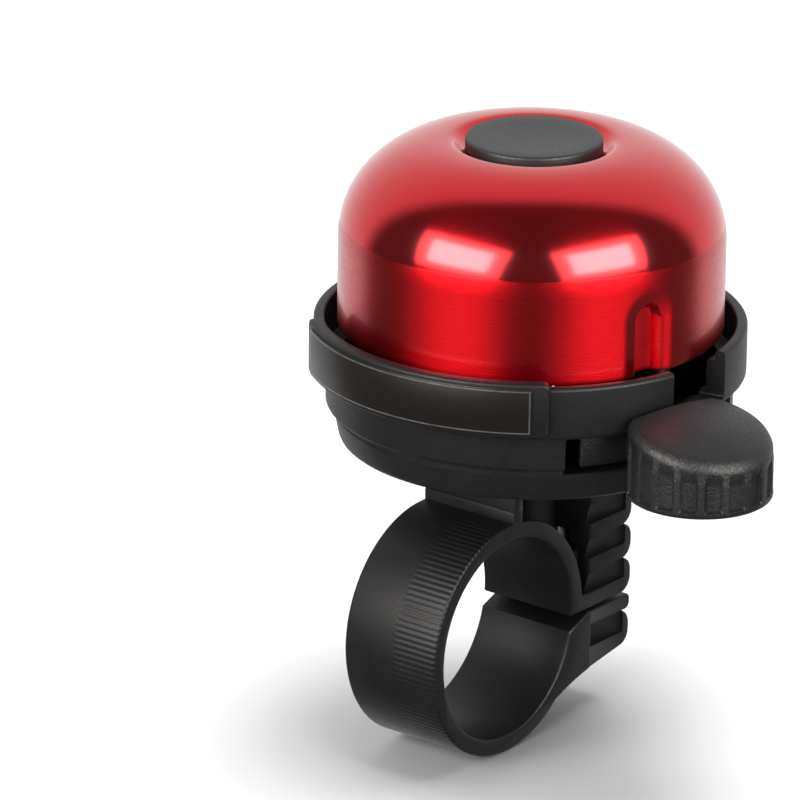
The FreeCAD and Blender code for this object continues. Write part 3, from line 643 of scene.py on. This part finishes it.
def lobe(name, outline, pocket, top, half):
    """One rounded step of the column. From the pocket level up to its top each side has a sloping pocket,
    which gets shallower towards the outer end. One whose top is no higher than its pocket has none."""
    outer_depth = 0.3
    step = prism(name, outline, -half, half, 0.25, 3)
    if top <= pocket:
        return step
    cutters = []
    for side in (-1, 1):
        corners = [
            Vector((side * (half + 1), pocket)),
            Vector((side * (half + 1), top + 0.2)),
            Vector((side * (half - 0.2), top + 0.2)),
            Vector((side * (half - RIB_DEPTH - 0.15), pocket)),
        ]
        cutter = prism(f"{name}_pocket", corners, COLUMN_START - 1, CORE_END + 0.2, 0, 1, axis="Y")
        for vert in cutter.data.vertices:
            if vert.co.y > CORE_END * MM and abs(vert.co.x) < half * MM:
                vert.co.x = side * (half - outer_depth) * MM
        cutters.append(cutter)
    return combine(name, step, (), cutters)


def column_steps():
    """The steps from the split up to the disc, then the two of the lower lug. Each differs from the
    next by a hair in its width and start, so that no two share a plane."""
    steps = []
    count = 5
    for k in range(count):
        low = SPLIT_TOP + 0.01 + RIB_PITCH * k
        high = DISC_UNDER + 0.5 if k == count - 1 else low + RIB_PITCH + 0.04
        start = COLUMN_START - 0.01 * (k + 1)
        outline = rounded([
            (start, low, 0),
            (COLUMN_END, low, 1.75),
            (COLUMN_END, high, 1.55),
            (start, high, 0),
        ])
        top = high if k < 3 else 0
        steps.append(lobe(f"step_{k}", outline, low + 1.8, top, HALF_BAND - 0.02 - 0.005 * k))
    middle = LUG_TOP - 1.7
    start = COLUMN_START - 0.07
    upper = rounded([
        (start, middle - 0.04, 0),
        (COLUMN_END, middle - 0.04, 0.8),
        (COLUMN_END, LUG_TOP, 0.6),
        (start, LUG_TOP, 0),
    ])
    lower = rounded([
        (start - 0.01, LUG_FOOT - 1.35, 0),
        (COLUMN_END - 0.15, LUG_FOOT - 0.15, 1.6),
        (COLUMN_END, middle, 1.7),
        (start - 0.01, middle, 0),
    ])
    steps.append(lobe("lug_upper", upper, 0, -9, HALF_BAND - 0.05))
    steps.append(lobe("lug_lower", lower, LUG_FOOT + 1.2, middle, HALF_BAND - 0.06))
    return steps


def base_disc():
    """The disc under the dome, with its stepped edge."""
    return to_bell(lathe("disc", [
        (0, 0),
        (19.7, 0),
        (20.0, 0.05),
        (20.25, 0.25),
        (20.4, 0.6),
        (DISC_RADIUS - 0.05, DISC_THICK - 0.35),
        (DISC_RADIUS - 0.02, DISC_THICK - 0.15),
        (DISC_RADIUS - 0.15, DISC_THICK - 0.02),
        (DISC_RADIUS - 0.35, DISC_THICK),
        (0, DISC_THICK),
    ], 256, wrap=False))


def neck_wall():
    """The neck's front wall, in steps that each stand back a little further."""
    steps = []
    for k in range(4):
        low = 12.3 + 1.75 * k
        front = 0.45 + 0.14 * k
        steps.append(block(f"wall_{k}", (-HALF_BAND, front, low), (HALF_BAND, 2.0, low + 1.9), 0.12, 2))
    return steps


def disc_rod(name, radius, height, circle, angle):
    """A rod that stands in the disc, at a radius and angle from the bell's axis."""
    x, y = around(circle, angle)
    return rod(name, radius, DISC_UNDER + 1, DISC_UNDER + height, x, BELL_Y + y, 32)


def base_holes():
    """What is cut from the lower moulding: screw seats and ways, bore and nut pocket."""
    holes = []
    for k, (x, y) in enumerate(SCREW_PLACES):
        holes.append(rod(f"head_seat_{k}", 2.1, DISC_UNDER - 1, DISC_UNDER + 1.2, x, BELL_Y + y, 48, 0.02))
        holes.append(rod(f"screw_way_{k}", 1.2, DISC_UNDER - 1, DISC_UNDER + 4, x, BELL_Y + y, 32, 0.02))
    holes.append(rod("washer_seat", 3.2, LUG_FOOT - 2, LUG_FOOT + 0.5, 0, SCREW_AXIS, 64, 0.02))
    holes.append(rod("screw_way", 1.6, LUG_FOOT - 2, 10.5, 0, SCREW_AXIS, 48, 0.02))
    end = HALF_BAND + 1
    bore = lathe("bore", [(0, -end), (BORE, -end), (BORE, end), (0, end)], 180, wrap=False)
    bore.data.transform(Matrix.Rotation(math.pi / 2, 4, "Y"))
    holes.append(bore)
    half = (NUT_HIGH.x - NUT_LOW.x) / 2 + 0.1
    holes.append(block("nut_pocket", (-half, COLUMN_START - 1, NUT_LOW.z - 0.05),
                       (half, NUT_HIGH.y + 0.1, NUT_HIGH.z + 0.05), 0.02, 1))
    return holes


def clamp_base():
    """The lower moulding: disc, neck, band, column and lug."""
    parts = [prism("band", divided(band_outline(), 1.2), -HALF_BAND, HALF_BAND, 0.3, 4)]
    parts += neck_wall()
    parts.append(rod("boss", 3.0, 2.0, DISC_UNDER + 0.5, 0, BELL_Y))
    parts += column_steps()
    parts.append(block("web", (-4.4, 8.5, 0.1), (4.4, COLUMN_START + 1, 5.55), 0.1, 1))
    for k, angle in enumerate((-42.1, 41.1)):
        parts.append(disc_rod(f"stop_{k}", 1.2, 6.6, 14.0, angle))
    parts.append(disc_rod("spring_peg", 0.8, 8.6, SPRING_CIRCLE, -120))
    return combine("clamp_moulding", base_disc(), parts, base_holes())


# ---------------------------------------------------------------- the upper moulding and its label

COLLAR_OUTER = HOUSING_HIGH.x
COLLAR_WALL = 1.2
COLLAR_TOP = 13.55
TUB_OUTER = 21.8
TUB_INNER = 20.2
SHELF_UNDER = 7.95
SHELF_TOP = 9.0
PAD_OUTER = BELL_Y - HOUSING_LOW.y
PAD_TOP = HOUSING_HIGH.z - DISC_UNDER
PAD_ANGLES = (-132.5, -47.5)
WINDOW_ANGLES = (-42.5, 26.0)
GAP_ANGLES = (-12.0, 10.0)
GAP_END_ANGLES = (9.4, 15.0)


def upper_housing():
    """The upper moulding: tub wall, shelf, collar with its gap, and the raised label pad."""
    profile = rounded([
        (TUB_INNER, DISC_THICK, 0),
        (TUB_INNER + 0.6, DISC_THICK, 0),
        (TUB_INNER + 0.6, DISC_THICK + 0.7, 0),
        (TUB_OUTER, DISC_THICK + 0.7, 0.7),
        (TUB_OUTER, SHELF_UNDER, 0.12),
        (COLLAR_OUTER, SHELF_UNDER, 0.25),
        (COLLAR_OUTER, COLLAR_TOP, 0.45),
        (COLLAR_OUTER - COLLAR_WALL, COLLAR_TOP, 0.35),
        (COLLAR_OUTER - COLLAR_WALL, SHELF_TOP, 0.3),
        (TUB_INNER, SHELF_TOP, 0.2),
    ])
    ring = lathe("ring", profile, 288)
    inner = COLLAR_OUTER - COLLAR_WALL
    joined = [
        bent("pad", inner + 0.5, PAD_OUTER, 8.3, PAD_TOP, *PAD_ANGLES, 0.3, 0.7),
        bent("end_block", inner - 1.0, COLLAR_OUTER - 0.4, 8.5, 12.4, *GAP_END_ANGLES, 0.25, 0.3),
    ]
    removed = [
        bent("window", TUB_INNER - 2, COLLAR_OUTER + 2, DISC_THICK - 1, 7.4, *WINDOW_ANGLES, 0.02, 0.35),
        bent("gap", TUB_INNER - 1, COLLAR_OUTER + 2, 8.4, PAD_TOP + 1, *GAP_ANGLES, 0.02, 0.35),
    ]
    for k, (x, y) in enumerate(SCREW_PLACES):
        joined.append(rod(f"housing_boss_{k}", 2.6, DISC_THICK + 0.02, 8.2, x, y, 48))
        removed.append(rod(f"boss_bore_{k}", 1.15, DISC_THICK - 1, 6.9, x, y, 32, 0.02))
    return to_bell(combine("housing_moulding", ring, joined, removed))


PLATE_HALF_ANGLE = math.degrees(math.asin(PLATE_HIGH.x / (BELL_Y - PLATE_LOW.y)))
PLATE_LENGTH = 2 * math.radians(PLATE_HALF_ANGLE) * (BELL_Y - PLATE_LOW.y)


def label_plate():
    """The foil on the pad. Its UV map holds the place on the foil, in millimetres."""
    outer = BELL_Y - PLATE_LOW.y
    low = PLATE_LOW.z - DISC_UNDER
    high = PLATE_HIGH.z - DISC_UNDER
    plate = bent("label", outer - 0.2, outer, low, high, -90 - PLATE_HALF_ANGLE, -90 + PLATE_HALF_ANGLE,
                 0.06, 0.45, 1.0, 2)
    layer = plate.data.uv_layers.new(name="plate")
    for loop in plate.data.loops:
        point = plate.data.vertices[loop.vertex_index].co / MM
        turn = math.degrees(math.atan2(point.y, point.x)) + 90 + PLATE_HALF_ANGLE
        layer.data[loop.index].uv = (math.radians(turn) * outer, point.z - low)
    return to_bell(plate)


# ---------------------------------------------------------------- the lever

THUMB_CIRCLE = 28.0
THUMB_RADIUS = 7.45
THUMB_ANGLE = -13.0
THUMB_RIB = 0.35
THUMB_LOW = LEVER_LOW.z - DISC_UNDER
THUMB_TOP = 10.6
THUMB_CROWN = 22.0
THUMB_MIDDLE = THUMB_CIRCLE - 0.5
THUMB_SIDE = THUMB_LOW + 0.9
RIB_ANGLE = 19.5
INNER_FACE = COLLAR_OUTER + 0.45
HOLLOW_PIECES = 40
FAN_LOW = 4.1
SKIRT_OUTER = TUB_INNER - 0.3
FAN_ANGLES = (-36.9, 13.9)
SKIRT_ANGLES = (-37, 14)
ARM_ANGLES = (-22, -4)
HAMMER_PIN = around(9.6, 2)
LEVER_PEG = around(SPRING_CIRCLE, -29)


def crown_level(x, y):
    """The thumb piece's crowned top, with its centre straight out along +X."""
    across = math.hypot(x - COLLAR_OUTER - 1, y)
    return THUMB_TOP - THUMB_CROWN + math.sqrt(THUMB_CROWN ** 2 - across ** 2)


def thumb_outline(proud):
    """The ribbed outline with ribs of a given height, closed by the hollow face that follows the collar."""
    meet_x = (INNER_FACE ** 2 - THUMB_RADIUS ** 2 + THUMB_CIRCLE ** 2) / (2 * THUMB_CIRCLE)
    meet_y = math.sqrt(INNER_FACE ** 2 - meet_x ** 2)
    start = math.degrees(math.atan2(-meet_y, meet_x - THUMB_CIRCLE))
    outline = []
    pieces = 420
    for k in range(pieces + 1):
        angle = start - 2 * start * k / pieces
        off = abs((angle + RIB_ANGLE / 2) % RIB_ANGLE - RIB_ANGLE / 2) / RIB_ANGLE
        ridge = min(1.0, max(0.0, 1 - (off - 0.13) / 0.07))
        ends = min(1.0, 14 * min(k, pieces - k) / pieces)
        x, y = around(THUMB_RADIUS + proud * ridge * ends, angle)
        outline.append(Vector((THUMB_CIRCLE + x, y)))
    spread = math.degrees(math.atan2(meet_y, meet_x))
    outline += arc((0, 0), INNER_FACE, spread, -spread, HOLLOW_PIECES)[1:-1]
    return outline


def thumb_lip(proud):
    """The same outline where it is plain all round: the rim above the ribs and the lip below them."""
    plain = thumb_outline(0)
    middle = Vector((THUMB_CIRCLE, 0))
    last = len(plain) - HOLLOW_PIECES + 1
    lip = []
    for k, point in enumerate(plain):
        if k < last:
            share = min(1.0, 0.1 * k, 0.1 * (last - 1 - k))
            point = point + (point - middle).normalized() * proud * share
        lip.append(point)
    return lip


def thumb_rings():
    """The thumb piece's outlines from the bottom up as lists of points: rounded lower edge, lip, ribs,
    plain rim, rounded upper edge, then the crowned top closing in on its middle."""
    lip = thumb_lip(THUMB_RIB)
    rim = thumb_lip(THUMB_RIB * 0.6)
    ribs = thumb_outline(THUMB_RIB)

    def at_crown(shape, drop):
        return [Vector((p.x, p.y, crown_level(p.x, p.y) - drop)) for p in shape]

    def quarter(edge, steps):
        """Inset and lift of each step of a rounded edge, from its end to the straight side."""
        angles = [math.pi / 2 * k / steps for k in range(steps + 1)]
        return [(edge * (1 - math.sin(a)), edge * (1 - math.cos(a))) for a in angles]

    rings = []
    for depth, lift in quarter(0.5, 4):
        rings.append([p.to_3d() + Vector((0, 0, THUMB_LOW + lift)) for p in inset(lip, depth)])
    rings.append([Vector((p.x, p.y, THUMB_LOW + 0.7)) for p in lip])
    for share in [k / 10 for k in range(11)]:
        rings.append([Vector((p.x, p.y, THUMB_SIDE + (crown_level(p.x, p.y) - 2.2 - THUMB_SIDE) * share))
                      for p in ribs])
    rings.append(at_crown([a.lerp(b, 0.5) for a, b in zip(ribs, rim)], 1.75))
    for drop, depth in quarter(1.0, 7):
        rings.append(at_crown(inset(rim, depth), drop))
    edge = rings[-1]
    middle = Vector((THUMB_MIDDLE, 0, 0))
    for share in [k / 10 for k in range(9, 0, -1)]:
        rings.append(at_crown([middle.lerp(p, share) for p in edge], 0))
    return rings


def thumb_piece():
    """The thumb piece: its rings joined, with a tip on top and one face below."""
    bm = bmesh.new()
    rings = [[bm.verts.new(p) for p in ring] for ring in thumb_rings()]
    count = len(rings[0])
    for low, high in zip(rings, rings[1:]):
        for k in range(count):
            after = (k + 1) % count
            bm.faces.new((low[k], low[after], high[after], high[k]))
    tip = bm.verts.new((THUMB_MIDDLE, 0, crown_level(THUMB_MIDDLE, 0)))
    for k in range(count):
        bm.faces.new((rings[-1][k], rings[-1][(k + 1) % count], tip))
    bm.faces.new(rings[0])
    piece = from_bmesh("thumb", bm, 30)
    piece.data.transform(Matrix.Rotation(math.radians(THUMB_ANGLE), 4, "Z"))
    return piece


def thumb_lever():
    """Hub on the post, fan plate, skirt behind the window, arm and thumb piece."""
    outer = SKIRT_OUTER
    hub = lathe("hub", [(2.5, FAN_LOW), (5.0, FAN_LOW), (5.0, 8.9), (2.5, 8.9)], 96)
    joined = [
        bent("fan", 3.0, outer - 0.5, FAN_LOW + 0.02, 6.1, *FAN_ANGLES, 0.15, 0.15, 2.5),
        bent("skirt", outer - 1.3, outer, 3.4, 7.6, *SKIRT_ANGLES, 0.2, 0.3),
        bent("arm", outer - 0.6, THUMB_CIRCLE - 3.5, 3.5, 7.0, *ARM_ANGLES, 0.3, 0.5),
        thumb_piece(),
        rod("pin_boss", 1.8, 4.3, 8.2, *HAMMER_PIN, 40),
        rod("lever_peg", 0.8, 4.3, 8.6, *LEVER_PEG, 32),
    ]
    removed = [
        rod("pin_bore", 0.91, 3, 9, *HAMMER_PIN, 32, 0.02),
        rod("journal_way", 3.55, 3, 9.5, 0, 0, 96, 0.02),
    ]
    return to_bell(combine("lever_moulding", hub, joined, removed, 30))


# ---------------------------------------------------------------- making and finishing the pieces

NYLON_DARK = (0.0075, 0.0075, 0.0095)
NYLON_LIGHT = (0.012, 0.012, 0.0145)
black = plastic("black_nylon", NYLON_DARK, NYLON_LIGHT, 0.38, 0.52, 5200, 0.000018)
lined_black = plastic("lined_nylon", NYLON_DARK, NYLON_LIGHT, 0.38, 0.52, 5200, 0.00002, lined=True)
lever_black = plastic("lever_nylon", (0.008, 0.008, 0.0095), (0.013, 0.013, 0.015),
                      0.36, 0.54, 3600, 0.00007, 0.38)
cap_black = plastic("cap_nylon", (0.014, 0.015, 0.017), (0.019, 0.020, 0.022),
                    0.4, 0.55, 5200, 0.000018, 0.42)
rubber = plastic("black_rubber", (0.012, 0.012, 0.012), (0.02, 0.02, 0.02), 0.6, 0.8, 3000, 0.00002)
steel = metal("turned_steel", (0.42, 0.42, 0.43), (0.62, 0.62, 0.63), 0.22, 0.38, (1, 1, 8))
spring_steel = metal("spring_wire", (0.30, 0.30, 0.32), (0.50, 0.50, 0.53), 0.25, 0.4)
zinc = metal("zinc_plate", (0.52, 0.53, 0.55), (0.70, 0.71, 0.73), 0.2, 0.38)
brass = metal("turned_brass", (0.55, 0.38, 0.14), (0.72, 0.52, 0.22), 0.2, 0.35, (1, 1, 8))
aluminium = metal("turned_aluminium", (0.60, 0.60, 0.62), (0.78, 0.78, 0.80), 0.24, 0.4, (1, 1, 8))

PIECES = [
    (dome, "dome", "root", "red_anodised", anodised()),
    (dome_cap, "dome_cap", "root", "cap_plastic", cap_black),
    (clamp_base, "clamp_base", "root", "black_plastic", lined_black),
    (upper_housing, "upper_housing", "root", "black_plastic", black),
    (label_plate, "label_plate", "root", "label_foil", label_foil()),
    (thumb_lever, "thumb_lever", "lever", "lever_plastic", lever_black),
]
for make, node, body, slot, material in PIECES:
    piece = make()
    piece.data.materials.clear()
    piece.data.materials.append(material)
    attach(piece, body)
    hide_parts(node)

KEPT = {
    "cap_insert": brass, "dome_washer": rubber, "dome_sleeve": aluminium, "centre_post": steel,
    "thrust_washer": steel, "lever_spring": spring_steel, "hammer_arm": lever_black, "hammer_head": steel,
    "hammer_pin": steel, "pin_clip": spring_steel, "hammer_spring": spring_steel, "housing_screws": zinc,
    "clamp_screw": zinc, "clamp_washer": zinc, "clamp_nut": zinc,
}
for node, material in KEPT.items():
    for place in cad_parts[node].material_slots:
        place.material = material


# ---------------------------------------------------------------- floor, light and camera

def quad(name, width, depth, centre, material):
    """A level rectangle of a width and a depth."""
    bm = bmesh.new()
    bmesh.ops.create_grid(bm, x_segments=1, y_segments=1, size=0.5)
    for vert in bm.verts:
        vert.co = Vector((vert.co.x * width, vert.co.y * depth, 0)) + Vector(centre)
    mesh = bpy.data.meshes.new(name)
    bm.to_mesh(mesh)
    bm.free()
    made = new_object(name, mesh)
    made.data.materials.append(material)
    return made


floor_look = Shader("floor", Roughness=0.9, Specular_IOR_Level=0.1)
cloud = floor_look.noise(floor_look.position(), 3, 2)
floor_look.colour(floor_look.blend(cloud, (0.86, 0.86, 0.86), (0.88, 0.88, 0.88)))
floor = quad("floor", 6.0, 6.0, (0, 0, BASE_LOW.z * MM), floor_look.material)
floor.visible_glossy = False


def towards(azimuth, elevation):
    """The direction from the bell to a place round and up from the front, -Y, in radians."""
    level = math.cos(elevation)
    return Vector((math.sin(azimuth) * level, -math.cos(azimuth) * level, math.sin(elevation)))


AZIMUTH = math.radians(37.17)
ELEVATION = math.radians(19.68)
TARGET = Vector((0, BELL_Y, DISC_UNDER + 12)) * MM
TO_CAMERA = towards(AZIMUTH, ELEVATION)
DISTANCE = 0.8231
SENSOR = 36
FOCAL_FRAMES = 9.641
ROLL = math.radians(1.16)
# Where the target stands in the frame, right of and above the middle, in frame widths
TARGET_RIGHT = 0.1630
TARGET_ABOVE = 0.0896


def photo_camera():
    """The photograph's camera, rolled and aimed so that the target stands where the photograph has it."""
    data = bpy.data.cameras.new("camera")
    data.sensor_width = SENSOR
    data.lens = SENSOR * FOCAL_FRAMES
    data.clip_start = 0.05
    camera = bpy.data.objects.new("camera", data)
    bpy.context.scene.collection.objects.link(camera)
    level = TO_CAMERA.to_track_quat("Z", "Y").to_matrix()
    rolled = level @ Matrix.Rotation(ROLL, 3, "Z")
    seen = Vector((TARGET_RIGHT, TARGET_ABOVE, -FOCAL_FRAMES)).normalized()
    aim = seen.rotation_difference(Vector((0, 0, -1))).to_matrix()
    camera.matrix_world = Matrix.Translation(TARGET + TO_CAMERA * DISTANCE) @ (rolled @ aim).to_4x4()
    bpy.context.scene.camera = camera


def softbox(name, azimuth, elevation, distance, width, height, power, colour=(1, 1, 1)):
    """A rectangular light that faces the bell from a direction given round from the camera's side."""
    data = bpy.data.lights.new(name, "AREA")
    data.shape = "RECTANGLE"
    data.size = width
    data.size_y = height
    data.energy = power
    data.color = colour
    light = bpy.data.objects.new(name, data)
    bpy.context.scene.collection.objects.link(light)
    away = towards(AZIMUTH + math.radians(azimuth), math.radians(elevation))
    facing = away.to_track_quat("Z", "Y").to_matrix().to_4x4()
    light.matrix_world = Matrix.Translation(TARGET + away * distance) @ facing
    return light


def studio():
    """A world that is bright behind and above the bell and dim on the camera's side."""
    world = bpy.data.worlds.new("studio")
    world.use_nodes = True
    tree = world.node_tree
    background = tree.nodes["Background"]
    background.inputs["Color"].default_value = (1, 1, 1, 1)
    coordinates = tree.nodes.new("ShaderNodeTexCoord")
    facing = tree.nodes.new("ShaderNodeVectorMath")
    facing.operation = "DOT_PRODUCT"
    facing.inputs[1].default_value = (math.sin(AZIMUTH), -math.cos(AZIMUTH), -0.2)
    tree.links.new(coordinates.outputs["Generated"], facing.inputs[0])
    spread = tree.nodes.new("ShaderNodeMapRange")
    spread.interpolation_type = "SMOOTHSTEP"
    limits = {"From Min": -0.48, "From Max": -0.22, "To Min": 0.95, "To Max": 0.15}
    for socket, number in limits.items():
        spread.inputs[socket].default_value = number
    tree.links.new(facing.outputs["Value"], spread.inputs["Value"])
    tree.links.new(spread.outputs["Result"], background.inputs["Strength"])
    bpy.context.scene.world = world


BOX_ELEVATION = 22
BOX_DISTANCE = 0.9
CORE_NEARER = 0.02
WARM = (1.0, 0.94, 0.84)

photo_camera()
studio()
for side, azimuth in (("left", -45), ("right", 44)):
    box = softbox(f"{side}_box", azimuth, BOX_ELEVATION, BOX_DISTANCE, 0.92, 0.60, 5.5)
    core = softbox(f"{side}_core", azimuth, BOX_ELEVATION, BOX_DISTANCE - CORE_NEARER, 0.60, 0.37, 11.0, WARM)
    box.visible_diffuse = side == "left"
    core.visible_diffuse = False
fill = softbox("floor_light", 125, 79, 1.4, 0.8, 0.8, 18.0)
fill.visible_glossy = False
bpy.context.scene.view_settings.view_transform = "Standard"
